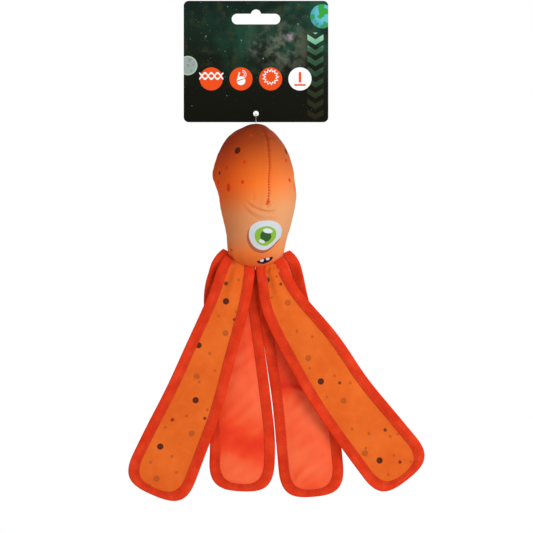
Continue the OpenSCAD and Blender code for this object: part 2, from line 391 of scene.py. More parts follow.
def makeTailPrint():
    look, tree, shader = material("spottedTailFabric", 0.74, 0.12)
    space = clothSpace(tree)
    cloudy = noise(tree, space, 18, 3)
    ground = ramp(tree, cloudy, [(0.30, (0.68, 0.096, 0.008)), (0.52, (0.74, 0.126, 0.012)),
                                 (0.72, (0.81, 0.160, 0.020))])
    flecks = ranged(tree, noise(tree, space, 120, 3), 0.46, 0.66, 0.0, 0.12)
    mottled = mixed(tree, flecks, ground, (0.90, 0.20, 0.04))
    dots = [("paleDots", (0.40, 0.075, 0.012), 0.70), ("softDots", (0.40, 0.075, 0.012), 0.75),
            ("smallDots", (0.13, 0.016, 0.005), 0.85), ("darkDots", (0.085, 0.014, 0.004), 0.97)]
    feed(tree, shader.inputs["Base Color"], printed(tree, mottled, dots))
    soft = bumped(tree, shader, noise(tree, space, 75, 3), 1.1, 0.45)
    bumped(tree, shader, weave(tree, space, 0.9, 900), 0.10, 0.6, soft)
    return look


def makeTailSatin():
    look, tree, shader = material("plainSatin", 0.46, 0.20)
    space = clothSpace(tree)
    # painted light and shade from the creases, over the satin's own uneven colour
    place = plus(tree, times(tree, stored(tree, "paintedLightShade"), 0.42), noise(tree, space, 18, 3))
    ground = ramp(tree, place, [(0.10, (0.74, 0.022, 0.002)), (0.40, (0.85, 0.055, 0.008)),
                                (0.55, (0.87, 0.094, 0.024)), (0.80, (0.91, 0.140, 0.046))])
    feed(tree, shader.inputs["Base Color"], ground)
    crinkle = bumped(tree, shader, noise(tree, space, 55, 3, 0.55), 1.8, 0.40)
    bumped(tree, shader, weave(tree, space, 0.6, 1200), 0.06, 0.5, crinkle)
    return look


def makeTape():
    # ribs on a slant across the tape, with painted shade in their valleys
    look, tree, shader = material("bindingTape", 0.70, 0.10)
    space = clothSpace(tree)
    parts = axes(tree, space)
    ribs = wave(tree, plus(tree, times(tree, parts["X"], 0.8), parts["Y"]), 1.5 * mm)
    worn = noise(tree, space, 60, 4)
    ground = ramp(tree, worn, [(0.3, (0.64, 0.026, 0.003)), (0.5, (0.74, 0.038, 0.006)),
                               (0.72, (0.84, 0.062, 0.014))])
    # painted shade in the valleys between the ribs
    painted = mixed(tree, ranged(tree, ribs, -1.0, 0.2, 0.34, 0.0), ground, (0.44, 0.012, 0.002))
    feed(tree, shader.inputs["Base Color"], painted)
    height = plus(tree, times(tree, ribs, 0.6), noise(tree, space, 1100, 2))
    soft = bumped(tree, shader, noise(tree, space, 110, 3), 0.7, 0.4)
    bumped(tree, shader, height, 0.16, 0.7, soft)
    return look


def makeThread(name, colour, dark):
    # a twisted thread: its plies run along it and round it at once, with painted shade in the grooves between
    # them
    look, tree, shader = material(name, 0.5)
    parts = axes(tree, clothSpace(tree))
    along, around = times(tree, parts["X"], 2 * math.pi / (0.5 * mm)), times(tree, parts["Y"], 1 / mm)
    twist = calc(tree, "SINE", plus(tree, along, around))
    # the dark colour is painted shade between the plies
    feed(tree, shader.inputs["Base Color"], mixed(tree, ranged(tree, twist, -1.0, 0.6), dark, colour))
    bumped(tree, shader, twist, 0.07, 0.8)
    return look


def makeNylon():
    look, tree, shader = material("clearNylon", 0.12)
    shader.inputs["IOR"].default_value = 1.53
    shader.inputs["Transmission Weight"].default_value = 0.8
    shader.inputs["Base Color"].default_value = (0.93, 0.93, 0.90, 1)
    bumped(tree, shader, noise(tree, objectSpace(tree), 700, 2), 0.05, 0.3)
    return look


def makePlastic(name, colour, roughness):
    look, tree, shader = material(name, roughness)
    space = objectSpace(tree)
    cloudy = ranged(tree, noise(tree, space, 60, 3), 0.3, 0.7)
    feed(tree, shader.inputs["Base Color"], mixed(tree, cloudy, colour, tuple(0.88 * c for c in colour)))
    bumped(tree, shader, noise(tree, space, 1500, 2), 0.05, 0.4)
    return look


headFabric = makeHeadFabric()
tailPrint = makeTailPrint()
tailSatin = makeTailSatin()
bindingTape = makeTape()
redThread = makeThread("redThread", (0.68, 0.020, 0.006), (0.34, 0.007, 0.002))
orangeThread = makeThread("orangeThread", (0.74, 0.085, 0.022), (0.30, 0.012, 0.003))
nylon = makeNylon()
squeakerPlastic = makePlastic("squeakerPlastic", (0.84, 0.80, 0.68), 0.38)
whistlePlastic = makePlastic("whistlePlastic", (0.78, 0.78, 0.75), 0.30)
crackleFilm = makePlastic("crackleFilm", (0.72, 0.73, 0.76), 0.15)
print("materials made")


head = {
    "crown": -108.0,      # height of the crown
    "faceTurn": 18.0,     # degrees that the face looks to the right
    # outer radius at each depth below the crown; the first and last mirror their neighbours
    "stations": [(-8.4, 1.6), (0, 0), (8.4, 1.6), (15, 6.5), (23.8, 14.7), (30.4, 23.5), (35.8, 33.5),
                 (39.5, 46), (39.8, 58), (37.4, 81), (34, 95.5), (29.7, 111), (28, 121), (27.2, 128),
                 (24, 133), (17, 137.7), (8, 141), (0, 142), (-8, 141)],
    "rows": 230, "columns": 150,
    "clothThickness": 1.2,
    # height, waves round the head, depth for each radian of a wave, and start of each soft lump
    "lumps": ((0.45, 2, 21, 0.0), (0.30, 3, -15, 1.0), (0.18, 5, 9.5, 2.2)),
    "seamGroove": 1.7, "seamWidth": 2.2, "seamPucker": 0.30, "puckerPitch": 7.5,
    "dartFrom": 2.0, "dartTo": 81.0, "dartGroove": 1.3, "dartWidth": 1.1,
    # depth of each place on the dart and its distance from the panel's middle
    "dart": [(-6, -1.2), (1.5, 1.5), (7.6, 3.6), (13.8, 5.8), (33, 4.8), (48, 3.9), (64, 0.7), (78, -1.8),
             (84, -2.4)],
    "dogEar": 1.5,             # the fold that stands out on the left seam
    "shoulders": (2.3, 1.5),   # the stuffing is fuller on the upper left, and a little on the upper right
    "neckGathers": 0.45,
    "chinFlat": 0.42,          # the chin is drawn in to a straight seam
    # the crease between the dart and the eye: how far it runs, and its groove and swellings, each a height,
    # a place below the line and a width
    "creaseDepth": 88.2, "creaseMiddle": 13.0, "creaseBow": 0.0195, "creaseRun": (-12, -3, 17, 24),
    "creaseShape": ((-1.7, 0, 1.2), (1.1, 3.6, 2.8), (0.35, -3.4, 2.4)),
    # steps to the side, and the depths that each eases between
    "lean": ((-2.4, 2, 16), (4.1, 50, 74), (-1.7, 100, 126)),
    "printTurn": 1.2,          # radians each way in which the face is printed as seen from the front
}


def headProfile(t):
    # radius, depth and outward direction in the half section, t counting stations from the crown
    here = splineThrough(head["stations"], t + 1)
    ahead = unit(splineThrough(head["stations"], t + 1.02) - splineThrough(head["stations"], t + 0.98))
    return here[..., 0], here[..., 1], ahead[..., 1], -ahead[..., 0]


def dartOffset(depth):
    line = np.array(head["dart"])
    return splineThrough(line, np.interp(depth, line[:, 0], np.arange(len(line))))[..., 1]


def headRelief(radius, depth, phi):
    # How far the cloth stands out, in mm: soft lumps, side seams, darts, and gathers above the chin
    fromSeam = radius * (math.pi / 2 - np.abs(phi))
    body = span(depth, 6, 26, 120, 138)
    lumps = body * sum(high * np.sin(n * phi + depth / deep + start)
                       for high, n, deep, start in head["lumps"])
    seam = -head["seamGroove"] * bell(fromSeam, head["seamWidth"]) * smooth(depth, 3, 12)
    ripple = np.sin(2 * math.pi * depth / head["puckerPitch"] + 1.4 * np.sin(depth / 12))
    pucker = body * head["seamPucker"] * ripple * np.exp(-fromSeam / 6) * (1 - np.exp(-fromSeam / 1.5))
    sewn = span(depth, head["dartFrom"] - 2, head["dartFrom"] + 6, head["dartTo"] - 4, head["dartTo"] + 1)
    x = radius * phi - dartOffset(depth)
    beside = np.abs(x)
    puff = 0.50 * bell(beside - 3.6, 2.6)
    drawn = 0.22 * np.sin(2 * math.pi * depth / 4.6) * np.exp(-beside / 3.5) * (1 - np.exp(-beside / 0.8))
    dart = sewn * (-head["dartGroove"] * bell(x, head["dartWidth"]) + puff + drawn)
    fromEnd = depth - head["dartTo"]
    rim = np.hypot(x, fromEnd) - 4.5
    tuck = -1.7 * np.exp(-(x**2 / 5 + fromEnd**2 / 9)) + 0.8 * np.exp(-(rim**2) / 5)
    folds = np.sin(15 * phi + 1.3 * np.sin(3.1 * phi)) * (1 - 0.85 * bell(phi, 0.9))
    return lumps + seam + pucker + dart + tuck + head["neckGathers"] * span(depth, 118, 134, 138, 142) * folds


def faceFold(arc, depth):
    # Two crescent creases between the end of the dart and the eye, a small upright one beside the dart,
    # and a tuck beside the dart's upper end. Each is a bell-shaped groove, with a swelling along it.
    line = head["creaseDepth"] - head["creaseBow"] * (arc - head["creaseMiddle"]) ** 2
    below = depth - line
    first = sum(high * bell(below - at, wide) for high, at, wide in head["creaseShape"])
    second = -0.45 * bell(below - 8.5, 1.8) * span(arc, -16, -9, 0, 8)
    upright = -0.5 * bell(arc + 3 + 0.08 * (depth - 74), 0.9) * span(depth, 66, 70, 76, 80)
    slant = depth - 0.25 * (arc - 8)
    crown = -1.3 * bell(slant - 13, 1.1) * span(arc, 6, 9, 15, 22)
    crown = crown + 0.7 * bell(slant - 17, 2.2) * span(arc, 4, 9, 15, 24)
    return first * span(arc, *head["creaseRun"]) + second + upright + crown


def headTurn(depth):
    # the face looks to the right, but the seam under the chin lies straight across
    return math.radians(head["faceTurn"]) * (1 - smooth(depth, 124, 141))


def headLean(depth):
    # the stuffed head isn't straight: its upper half sits a little left and its middle a little right
    return sum(step * smooth(depth, low, high) for step, low, high in head["lean"])


def headPoint(t, phi, side=1, lift=0.0):
    # A point on the cloth: the section's radius and depth, moved out along its own direction by the relief,
    # and turned about the middle. Side 1 is the face panel and -1 the back one; phi is the angle from the
    # panel's middle.
    radius, depth, outR, outD = headProfile(t)
    angle = phi + headTurn(depth)
    relief = headRelief(radius, depth, phi) + lift
    if side > 0:
        relief = relief + faceFold(headLean(depth) + radius * angle, depth)
    fromLeftSeam = radius * (math.pi / 2 + side * phi)
    relief = relief + head["dogEar"] * span(depth, 20, 50, 54, 59) * bell(fromLeftSeam, 10)
    toLeft = -side * np.sin(angle)
    left, right = head["shoulders"]
    relief = relief + left * smooth(toLeft, 0.0, 0.9) * span(depth, 0.5, 10, 16, 44)
    relief = relief + right * smooth(-toLeft, 0.0, 0.9) * span(depth, 3, 12, 20, 42)
    r, d = radius + relief * outR, depth + relief * outD
    deep = 1 - head["chinFlat"] * smooth(depth, 104, 140)
    x, y = side * r * np.sin(angle) + headLean(depth), -side * r * np.cos(angle) * deep
    return np.stack([x, y, head["crown"] - d], -1)


def evenRows(count):
    # station parameters that put the rows at even steps along the head's section
    t = np.linspace(0, len(head["stations"]) - 3, 4000)
    run = arcLength(np.stack(headProfile(t)[:2], -1))
    even = np.linspace(0, run[-1], count)
    return np.interp(even, run, t), even


def ellipseField(x, z, cx, cz, rx, rz, tilt=0.0):
    # distance to a tilted ellipse's outline, in mm, negative inside
    c, s = math.cos(math.radians(tilt)), math.sin(math.radians(tilt))
    u, v = (x - cx) * c + (z - cz) * s, -(x - cx) * s + (z - cz) * c
    return (np.hypot(u / rx, v / rz) - 1) * min(rx, rz)


def roundField(x, z, cx, cz, radii, grow=0.0):
    # distance to a closed outline given by its radius at even angles, joined smoothly
    angle = np.arctan2(z - cz, x - cx) / (2 * math.pi) * len(radii) % len(radii)
    ring = np.array([radii[-1], *radii, *radii[:2]], float)[:, None]
    return np.hypot(x - cx, z - cz) - splineThrough(ring, angle + 1)[..., 0] - grow


def spotField(x, z, spots):
    field = np.full(x.shape, 99.0)
    for spot in spots:
        field = np.minimum(field, ellipseField(x, z, *spot))
    return field


face = {
    # the middle of each shape, and its radii at even angles from the right
    "eye": (8.8, -218.7),
    "eyeRadii": (15.8, 18.0, 16.2, 14.2, 14.7, 16.0, 15.9, 15.4, 15.0, 14.3, 12.8, 12.7),
    "iris": (9.3, -219.0),
    "irisRadii": (10.4, 11.2, 10.0, 9.0, 8.8, 10.0, 10.5, 10.5, 10.2, 9.9, 9.1, 9.3),
    "shade": (-1.5, -2.5), "shadeGrow": 0.5,   # the printed shadow round the eye
    # middle, half width, half height and tilt of each printed shape
    "pupil": (9.7, -219.5, 5.4, 5.4),
    "glints": ((11.7, -214.4, 4.7, 2.3, -6), (5.8, -224.6, 3.2, 1.7, -20)),
    "tuck": (12.0, -186.2, 1.5, 2.8, -8),      # painted shade: a deeper red in the dimple where the dart ends
    "mouth": (8.7, -241.8), "mouthHalf": (8.2, 4.3), "mouthTilt": 16.8, "lipDrop": 0.6, "toothGap": 0.25,
    "teeth": ((5.8, -243.0, 2.1, 1.8, 14), (11.5, -241.1, 1.9, 1.9, 20)),
    "darkSpots": ((-17.6, -136.2, 2.5, 3.5, -30), (-35.2, -157.6, 0.8, 1.8, 0), (28.7, -136.2, 1.2, 3.2, 25)),
    "redSpots": ((-20.3, -119, 1.5, 4.4, -42), (-4.5, -120.7, 1.7, 1.2, 20), (16.6, -119.8, 1.2, 2.2, 40),
                 (-34, -138.4, 1.3, 3.6, -25), (-11, -147.3, 1.5, 1.9, -20), (-28.2, -152.7, 1.1, 1.8, -15),
                 (-12.8, -166.8, 1.6, 1.9, 0), (-26.6, -172.0, 1.9, 4.1, 0), (-37, -166.5, 0.8, 2.2, 0),
                 (-42, -155, 1.0, 3.4, 0), (29.4, -145.1, 1.0, 1.7, 20), (33.6, -164.5, 1.0, 2.1, 15),
                 (-23.9, -232.8, 1.0, 1.8, 30), (40.5, -171, 1.1, 5.0, 0)),
}


def faceFields(x, z):
    # distance to the outline of each printed shape on the face panel, and of the painted shade where the dart
    # ends
    tilt = math.radians(face["mouthTilt"])
    mx, mz = x - face["mouth"][0], z - face["mouth"][1]
    u, v = mx * math.cos(tilt) + mz * math.sin(tilt), -mx * math.sin(tilt) + mz * math.cos(tilt)
    half, deep = face["mouthHalf"]
    lips = np.maximum(ellipseField(u, v, 0, 0, half, deep), v - face["lipDrop"] * (1 - (u / half) ** 2))
    shade = np.add(face["eye"], face["shade"])
    return {
        "eyeWhite": roundField(x, z, *face["eye"], face["eyeRadii"]),
        "eyeShade": roundField(x, z, *shade, face["eyeRadii"], face["shadeGrow"]),
        "eyeIris": roundField(x, z, *face["iris"], face["irisRadii"]),
        "eyePupil": ellipseField(x, z, *face["pupil"]),
        "eyeGlint": spotField(x, z, face["glints"]),
        "mouth": lips,
        "teeth": np.maximum(spotField(x, z, face["teeth"]), lips + face["toothGap"]),
        "darkSpots": spotField(x, z, face["darkSpots"]),
        "redSpots": spotField(x, z, face["redSpots"]),
        "tuckShade": ellipseField(x, z, *face["tuck"]),
    }


def backFields(x, z):
    # the back has no face, only spots: a sunflower spiral of places, in two sizes
    k = np.arange(26)
    sx = 52 * np.sqrt((k % 13 + 0.5) / 13) * np.cos(k * 2.4)
    sz = -118 - 112 * (k + 0.5) / 26
    wide, high, tilt = 1.5 + (k * 7 % 5) * 0.5, 1.7 + (k * 3 % 4) * 0.6, k * 37 % 90
    spots = list(zip(sx, sz, wide, high, tilt))
    fields = {name: np.full(x.shape, 99.0) for name, _, _ in headPaint["shapes"]}
    fields["redSpots"], fields["darkSpots"] = spotField(x, z, spots[::2]), spotField(x, z, spots[1::4])
    return fields


def makeHeadPanel(name, side):
    t, run = evenRows(head["rows"])
    phi = np.linspace(-math.pi / 2, math.pi / 2, head["columns"])
    tt, pp = np.meshgrid(t, phi, indexing="ij")
    points = headPoint(tt, pp, side)
    radius, depth, _, _ = headProfile(tt)
    angle = pp + headTurn(depth)
    # the face is printed as seen from the front, and past that it runs on round the sides
    turned, limit = np.abs(angle), head["printTurn"]
    across = np.sign(angle) * (np.sin(np.minimum(turned, limit)) + np.maximum(turned - limit, 0))
    height = head["crown"] - depth
    if side > 0:
        fields = faceFields(headLean(depth) + radius * across, height)
    else:
        fields = backFields(radius * angle, height)
    fields["depth"] = depth
    fields["sideways"] = points[..., 0]
    cloth = np.stack([radius * pp, np.broadcast_to(run[:, None], tt.shape)], -1)
    piece = makePiece(name, points.reshape(-1, 3), gridFaces(*tt.shape), cloth.reshape(-1, 2), headFabric,
                      {key: value.ravel() for key, value in fields.items()}, merge=True, turn=True)
    thicken(piece, head["clothThickness"])
    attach(piece, "head")
    return piece


headFront = makeHeadPanel("headFrontPanel", 1)
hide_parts("head_front_panel", "head_stuffing")
headBack = makeHeadPanel("headBackPanel", -1)
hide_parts("head_back_panel")

headThread = {
    "dart": {"pitch": 2.7, "length": 1.7, "radius": 0.50, "lift": 1.0, "dip": 0.6},
    "side": {"pitch": 2.7, "length": 1.7, "radius": 0.32, "lift": 0.15, "dip": 0.6},
    "dartDepths": (5, 82), "sideDepths": (14, 128),
    "sideAngle": 1.555,   # just inside the edge of the panel
}


def headSeam(depths, phi, side):
    # a line down the head's surface with its outward direction, for the thread to follow
    t, _ = evenRows(600)
    depth = headProfile(t)[1]
    t = t[(depth > depths[0]) & (depth < depths[1])]
    radius, depth, _, _ = headProfile(t)
    angle = np.full(t.shape, phi) if phi else dartOffset(depth) / radius
    line = headPoint(t, angle, side)
    return line, headPoint(t, angle, side, 1.0) - line


def sewHead(name, node, rows, thread):
    piece = makeStitches(name, rows, thread, redThread)
    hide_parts(node)
    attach(piece, "head")


for name, node, side in (("frontDartStitches", "front_dart_stitching", 1),
                         ("backDartStitches", "back_dart_stitching", -1)):
    sewHead(name, node, [headSeam(headThread["dartDepths"], 0.0, side)], headThread["dart"])
sides = [headSeam(headThread["sideDepths"], turn * headThread["sideAngle"], 1) for turn in (-1, 1)]
sewHead("sideSeamStitches", "side_seam_stitching", sides, headThread["side"])
print("head made")


tails = {
    # distance down the tail, x, z and half width at each station
    "front_left": [(0, -15.5, -240.5, 14.8), (10, -18.4, -250, 17.6), (20, -20.8, -259.5, 19.2),
                   (50, -28.4, -288.2, 21.5), (100, -45.3, -335.1, 25.4), (150, -62.2, -382.2, 29.6),
                   (200, -82.1, -428, 32.7), (250, -102.2, -474.6, 34.8)],
    "front_right": [(0, 12.5, -241, 13), (20, 17.6, -260.4, 16.8), (52, 29, -290.2, 22.7),
                    (104, 57.7, -333.5, 28.7), (156, 85.6, -377.3, 30.4), (208, 117.2, -418.7, 32.2),
                    (260, 149.5, -459.5, 33.5)],
    "back_left": [(0, -15.5, -238, 17), (12, -20.9, -249, 22.2), (24, -23, -259.5, 24.6),
                  (48, -24.8, -282.1, 27), (96, -20.4, -329.8, 28.5), (144, -16.8, -377.7, 31),
                  (192, -13.4, -425.6, 32.3), (238.5, -15.6, -472, 32.3)],
    "back_right": [(0, 16, -238, 17), (12, 20.2, -249, 22.6), (24, 22.8, -260.5, 24), (49, 27.2, -285.1, 25),
                   (98, 37, -333.4, 27.9), (147, 46.4, -381.4, 30.4), (196, 52.6, -429.9, 32),
                   (244, 56.8, -477.5, 32)],
}
tailShape = {
    "planeGap": 2.8,        # from the middle plane to each tail's own
    "tipDepth": 32.0, "tipPower": 2.4, "tipRun": 40.0,
    "tapeWidth": 10.5, "tapeOut": 1.25,
    "panelInset": 3.0, "panelThickness": 0.4, "filmInset": 3.5, "filmThickness": 0.12,
    "topStart": 3.0,        # where the cloth starts, inside the chin
    "splitAt": 62.0,        # where the two lengths of each piece meet
    "rootBand": (-247.0, -266.0), "bendBand": (-337.0, -387.0),   # heights between which the cloth bends
    "step": 1.6, "columns": 47,
    "stitchInsets": (9.2, 7.4),
    "thread": {"pitch": 3.0, "length": 2.2, "radius": 0.27, "lift": 0.18, "dip": 0.22},
}
# How each tail hangs: its fullness below the seam, its slow waves and its edges' waves (height, length and
# start), the satin's creases (place, slope, width, height) and its patches of painted light and shade (place,
# width, strength), and the place of a pucker in the print
tailHang = {
    "front_left": {"root": 3.4, "wave": (1.7, 118, 0.4), "edge": (1.5, 83, 1.2),
                   "creases": ((90, 0.3, 7, 0.7), (150, -0.2, 9, 0.8)),
                   "paintedLightPatches": ((120, 30, 0.4), (200, 22, -0.4))},
    "front_right": {"root": 3.2, "wave": (1.9, 132, 2.1), "edge": (1.7, 96, 0.2),
                    "creases": ((70, -0.3, 7, 0.7), (140, 0.3, 9, 0.8)),
                    "paintedLightPatches": ((95, 26, -0.4), (180, 30, 0.4)), "pucker": (14.0, 0.5)},
    "back_left": {"root": 3.6, "wave": (1.6, 105, 1.3), "edge": (1.3, 78, 2.5),
                  "creases": ((96, 0.5, 8, 0.5), (178, -0.05, 5, 0.8), (203, 0.1, 7, 0.5),
                              (120, -0.7, 5, 0.4)),
                  "paintedLightPatches": ((75, 22, -0.35), (130, 34, 0.35), (190, 12, -0.75), (222, 14, 0.35))},
    "back_right": {"root": 3.4, "wave": (1.8, 124, 3.0), "edge": (1.6, 88, 0.9),
                   "creases": ((138, 0.25, 3.2, 0.9), (147, -0.5, 5, 0.6), (190, -0.4, 5, 0.6),
                               (213, -0.7, 4, 0.7)),
                   "paintedLightPatches": ((95, 34, -0.55), (134, 7, -0.6), (165, 22, 0.5), (205, 20, 0.35))},
}


def tailLine(tail, v):
    # middle of the tail at v, the direction across it, and its half width
    stations = np.array(tails[tail], float)

    def at(place):
        return splineThrough(stations, np.interp(place, stations[:, 0], np.arange(len(stations))))

    v = np.asarray(v, float)
    here, ahead = at(v), at(v + 0.5) - at(v - 0.5)
    run = np.hypot(ahead[..., 1], ahead[..., 2])
    return here[..., 1], here[..., 2], -ahead[..., 2] / run, ahead[..., 1] / run, here[..., 3]


def tailWidth(tail, v):
    return tailLine(tail, v)[4]


def tailLength(tail):
    return tails[tail][-1][0]


def tailBulge(tail, v, w):
    # How far the tail's middle surface stands out from its plane: gathered below the seam, then slow waves,
    # with the edges fluttering a little more than the middle
    hang = tailHang[tail]
    q = np.clip(w / tailWidth(tail, v), -1, 1)
    fading = np.exp(-((np.maximum(v - 9, 0) / 36) ** 1.4)) * (1 - 0.45 * q**2)
    gathers = hang["root"] * smooth(v, 9, 24) * fading * (0.6 + 0.4 * np.cos(3.0 * math.pi * q))
    cup = 1.4 * (1 - q**2) * np.exp(-v / 120) * smooth(v, 9, 24)
    high, length, start = hang["wave"]
    slow = high * (1 + np.sin(2 * math.pi * v / length + start + 0.5 * q))
    high, length, start = hang["edge"]
    flutter = high * q**2 * (1 + np.sin(2 * math.pi * v / length + start + 1.7 * q))
    drawnIn = -0.45 * tailShape["planeGap"] * (1 - smooth(v, 4, 18))
    return drawnIn + gathers + cup + slow * smooth(v, 14, 60) + flutter * smooth(v, 20, 80)


def onTail(tail, v, w, n):
    # the place of a point v down the tail, w across it and n off its middle surface
    x, z, ax, az, _ = tailLine(tail, v)
    outward = -1 if tail.startswith("front") else 1
    y = outward * (tailShape["planeGap"] + tailBulge(tail, v, w) + n)
    return np.stack([x + ax * w, y, z + az * w], -1)


def ruffle(tail, v, w, inset):
    # the print is gathered into a small ruffle under the chin
    at, across = tailHang[tail]["pucker"]
    near = np.exp(-(((v - at) / 4.2) ** 2 + ((w - across) / 6.5) ** 2)) * smooth(inset, 4, 8)
    bent = v - at - 0.05 * (w - across) ** 2
    return near * (2.3 + np.cos(2 * math.pi * bent / 6.0) + 0.5 * np.cos(2 * math.pi * (w + 0.4 * v) / 4.4))


def panelHeight(tail, v, w, spotted):
    # How far a panel stands off the tail's middle surface: flat under the tape, puffed by the film inside,
    # with fine crinkles, and on the satin some broad soft creases
    hang = tailHang[tail]
    inset = np.minimum(tailWidth(tail, v) - np.abs(w), tailLength(tail) - v)
    free = smooth(inset, 9.0, 19.0)
    crinkle = 0.16 * np.sin(v / 4.1 + 1.2 * np.sin(w / 6)) * np.sin(w / 5.3 + v / 13)
    crinkle = crinkle + 0.10 * np.sin(v / 2.3 + w / 3.1 + np.sin(v / 9))
    soft = 0.20 * np.sin(v / 17 + hang["wave"][2]) * np.cos(w / 11)
    if not spotted:
        for at, slope, wide, high in hang["creases"]:
            soft = soft + high * bell(v - at - slope * w - 2.5 * np.sin(w / 9 + at), wide)
    height = 0.42 + 0.75 * free + (crinkle + soft) * free
    if not spotted:
        return -height
    return height + ruffle(tail, v, w, inset) if "pucker" in hang else height


def paintedCreaseLight(tail, v, w):
    # painted light and shade on the satin: lighter or darker by the slope of its creases, as they turn to the
    # light, with slow patches of painted light and shade
    paintedLightShade = 0.45 * (panelHeight(tail, v + 1.5, w, False) - panelHeight(tail, v - 1.5, w, False))
    for at, wide, strength in tailHang[tail]["paintedLightPatches"]:
        paintedLightShade = paintedLightShade + strength * bell(v - at - 3 * np.sin(w / 8), wide)
    return paintedLightShade


def surfaceNormals(place, v, w):
    # square to the surface that place(v, w) describes
    step = 0.4
    return unit(np.cross(place(v, w + step) - place(v, w - step), place(v + step, w) - place(v - step, w)))


def sweptNormals(points):
    # square to a grid of points that closes round its second direction
    around = np.roll(points, -1, axis=1) - np.roll(points, 1, axis=1)
    normal = unit(np.cross(np.gradient(points, axis=0), around))
    fromMiddle = points - points.mean(axis=1, keepdims=True)
    return normal * np.sign((normal * fromMiddle).sum())


def facing(points, faces, normals):
    # whether the faces' own winding agrees with the normals given at their corners
    a, b, c = (points[faces[:, k]] for k in range(3))
    return (np.cross(b - a, c - a) * normals[faces[:, 0]]).sum() > 0


def edgeLine(tail, half, inset):
    # v, w and the run along the tail's outline, inset by so much: down one side and, on the lower half,
    # round the tip (a superellipse) and up the other
    roundFrom = tailLength(tail) - tailShape["tipDepth"]
    first, last = tailShape["topStart"], tailShape["splitAt"]
    if half == "lower":
        first, last = last, roundFrom
    v = np.linspace(first, last, int((last - first) / tailShape["step"]) + 1)
    w = tailWidth(tail, v) - inset
    if half == "upper":
        return [(v, -w, v), (v, w, v)]
    a = np.linspace(0, math.pi / 2, 26)[1:]
    power = tailShape["tipPower"]
    vTip = roundFrom + (tailShape["tipDepth"] - inset) * np.sin(a)
    wTip = (tailWidth(tail, vTip) - inset) * np.maximum(1 - np.sin(a) ** power, 0) ** (1 / power)
    runTip = roundFrom + tailShape["tipRun"] * a
    v, w, run = np.concatenate([v, vTip]), np.concatenate([w, wTip]), np.concatenate([v, runTip])
    return [tuple(np.concatenate([down, up[-2::-1]]) for down, up in ((v, v), (-w, w), (run, run)))]


def panelGrid(tail, half, inset):
    # v and w over one length of a tail, inset from its outline and stopping under the tape at the tip
    v, w, _ = edgeLine(tail, half, inset)[-1]
    if half == "lower":
        keep = (len(v) + 1) // 2 - 2
        v, w = v[:keep], np.abs(w[:keep])
    q = np.linspace(-1, 1, tailShape["columns"])
    return v, w, np.repeat(v[:, None], len(q), 1), w[:, None] * q


# x, z and radius of each printed dot on the two tails whose print faces forward
printedDots = {
    "front_left": {
        "darkDots": ((-29.5, -283.5, 3.2), (-59.5, -381, 3.2), (-94.5, -427, 3.2), (-56.5, -327, 3.0)),
        "softDots": ((-30, -315, 3.1), (-58.5, -357.5, 3.1), (-63.5, -414, 3.1), (-98, -458.5, 3.1)),
        "smallDots": ((-29.5, -266, 2.1), (-21.5, -301.5, 1.6), (-50.5, -399, 1.8), (-82.5, -400.5, 1.8)),
        "paleDots": ((-22, -246, 1.7), (-17, -262.5, 1.6), (-19.5, -294, 1.5), (-36.5, -298, 1.6),
                     (-45.5, -335, 1.7), (-40.5, -352, 1.6), (-56, -363, 1.6), (-48, -390.5, 1.7),
                     (-68.5, -396.5, 1.6), (-89.5, -408, 1.6), (-83, -436.5, 1.7), (-104, -442.5, 1.7),
                     (-78.5, -452.5, 1.7), (-105, -465, 1.5)),
    },
    "front_right": {
        "darkDots": ((64, -362.5, 3.2), (122, -440.5, 3.2), (11, -262.5, 2.6)),
        "softDots": ((31.5, -285, 3.1), (51.5, -339.5, 3.1), (86.5, -381.5, 3.1), (107.5, -433.5, 3.1)),
        "smallDots": ((24.5, -266.5, 1.6), (82.5, -364, 1.7), (127.5, -410.5, 1.8), (142, -442, 1.8)),
        "paleDots": ((20.5, -259, 1.5), (15.5, -280, 1.5), (40.5, -313, 1.7), (55.5, -318.5, 1.6),
                     (81.5, -335.5, 1.6), (53, -349.5, 1.5), (77.5, -357, 1.6), (93, -364, 1.6),
                     (70, -378, 1.5), (95, -409.5, 1.7), (111.5, -414, 1.6), (132.5, -417, 1.6),
                     (140, -414.5, 1.6), (108.5, -428.5, 1.6), (136, -435.5, 1.6), (130.5, -454.5, 1.6),
                     (152.5, -441.5, 1.5)),
    },
}
# on the other two: how many of each kind, their radius and where they start
spreadDots = {"darkDots": (6, 3.1, 0.3), "softDots": (7, 3.0, 0.8), "smallDots": (17, 1.4, 0.5),
              "paleDots": (20, 1.2, 0.1)}


def dotFields(tail, v, w, points):
    # distance to the nearest printed dot of each kind, in mm
    fields = {}
    for kind, (count, radius, start) in spreadDots.items():
        if tail in printedDots:
            spots = [(x, z, r, r) for x, z, r in printedDots[tail][kind]]
            fields[kind] = spotField(points[..., 0], points[..., 2], spots)
        else:
            k = np.arange(count)
            dotV, dotW = 18 + (tailLength(tail) - 40) * (k + start) / count, 15 * np.sin(k * 2.4 + start * 9)
            fields[kind] = spotField(v, w, [(a, b, radius, radius) for a, b in zip(dotV, dotW)])
    return fields


